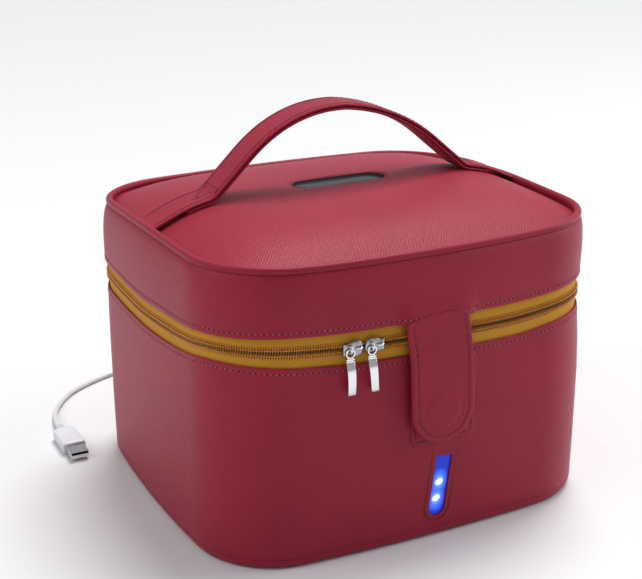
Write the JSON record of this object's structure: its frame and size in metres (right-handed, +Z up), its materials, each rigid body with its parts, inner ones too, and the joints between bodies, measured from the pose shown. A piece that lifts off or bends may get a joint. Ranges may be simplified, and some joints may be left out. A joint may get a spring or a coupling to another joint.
{
  "type": "pacifier sterilizer case",
  "caption": "Soft vanity-style case with a zipped, padded lid, strap handle, snap tab, lamp module under the lid and a plug-in power lead.",
  "frame": {"origin": "middle of the case's underside, on the surface that it stands on", "axes": "+X to the right along the front, the front with the closure tab faces -Y, +Z up"},
  "size_m": [0.2939, 0.3452, 0.2411],
  "materials": {
    "leather": "cross-hatched grain, satin",
    "leather_dark": "cross-hatched grain, satin",
    "board": "matt fibre board",
    "reflective_lining": "silver film on cloth",
    "zip_tape": "woven herringbone",
    "zip_coil": "moulded monofilament",
    "magnet": "nickel plated",
    "clear_plastic": "clear",
    "quartz_glass": "clear",
    "white_plastic": "glossy",
    "circuit_board": "solder mask",
    "aluminium_board": "white mask on aluminium",
    "led_blue": "lamp, lit blue",
    "led_violet": "lamp",
    "steel": "nickel plated",
    "ribbon": "flat cable film",
    "lead_jacket": "smooth white jacket",
    "tie": "coated wire tie",
    "foam": "open cell foam",
    "smoked_window": "smoked, polished",
    "black_plastic": "matt",
    "slider_metal": "bright nickel"
  },
  "bodies": {
    "base": {"base_cover": "leather", "base_stiffener": "board", "base_floor_board": "board", "base_liner": "reflective_lining", "zip_tape_lower": "zip_tape", "zip_coil_lower": "zip_coil", "hinge_strip_lower": "leather", "closure_patch": "leather_dark", "patch_magnet": "magnet", "closing_magnet": "magnet", "light_lens": "clear_plastic", "light_housing": "white_plastic", "light_board": "circuit_board", "light_leds": "led_blue", "power_housing": "white_plastic", "power_board": "circuit_board", "power_socket": "steel", "ribbon_lower": "ribbon", "lead_plug": "white_plastic", "lead_near": "lead_jacket", "lead_coil": "lead_jacket", "lead_tie": "tie", "lead_far": "lead_jacket", "usb_plug": "white_plastic", "usb_shell": "steel"},
    "lid": {"lid_band": "leather", "lid_piping": "leather", "lid_top_skin": "leather", "lid_foam": "foam", "lid_stiffener": "board", "lid_liner": "reflective_lining", "zip_tape_upper": "zip_tape", "zip_coil_upper": "zip_coil", "hinge_strip_upper": "leather", "strap_root_left": "leather", "strap_root_right": "leather", "control_window": "smoked_window", "control_housing": "black_plastic", "control_board": "circuit_board", "lamp_housing": "white_plastic", "lamp_board": "aluminium_board", "lamp_leds": "led_violet", "lamp_cover": "quartz_glass", "closing_sensor": "white_plastic", "ribbon_upper": "ribbon"},
    "closure_tab": {"tab_outer": "leather", "tab_backing": "leather_dark", "tab_magnet": "magnet"},
    "handle": {"handle_outer": "leather", "handle_inner": "leather_dark"},
    "slider_left": {"slider_left": "slider_metal"},
    "slider_right": {"slider_right": "slider_metal"},
    "pull_left": {"pull_left": "slider_metal"},
    "pull_right": {"pull_right": "slider_metal"}
  },
  "joints": [
    {"name": "lid_hinge", "type": "hinge", "parent": "base", "child": "lid", "pos_m": [0, 0.122, 0.1312], "axis": [-1, 0, 0], "range_deg": [0, 105]},
    {"name": "tab_hinge", "type": "hinge", "parent": "lid", "child": "closure_tab", "pos_m": [0, -0.1231, 0.1402], "axis": [-1, 0, 0], "range_deg": [0, 150]},
    {"name": "slider_left_slide", "type": "slide", "parent": "base", "child": "slider_left", "axis": [0.9979, -0.0651, 0], "range_m": [-0.024, 0]},
    {"name": "slider_right_slide", "type": "slide", "parent": "base", "child": "slider_right", "axis": [0.9994, -0.034, 0], "range_m": [0, 0.012]},
    {"name": "pull_left_swing", "type": "hinge", "parent": "slider_left", "child": "pull_left", "pos_m": [-0.05561, -0.12078, 0.1317], "axis": [-0.9979, 0.0651, 0], "range_deg": [0, 150]},
    {"name": "pull_right_swing", "type": "hinge", "parent": "slider_right", "child": "pull_right", "pos_m": [-0.04251, -0.12147, 0.1317], "axis": [-0.9994, 0.034, 0], "range_deg": [0, 150]},
    {"name": "handle_lean", "type": "hinge", "parent": "lid", "child": "handle", "pos_m": [0, 0, 0.20302], "axis": [1, 0, 0], "range_deg": [-20, 20], "stiffness_Nm_per_rad": 0.15}
  ]
}
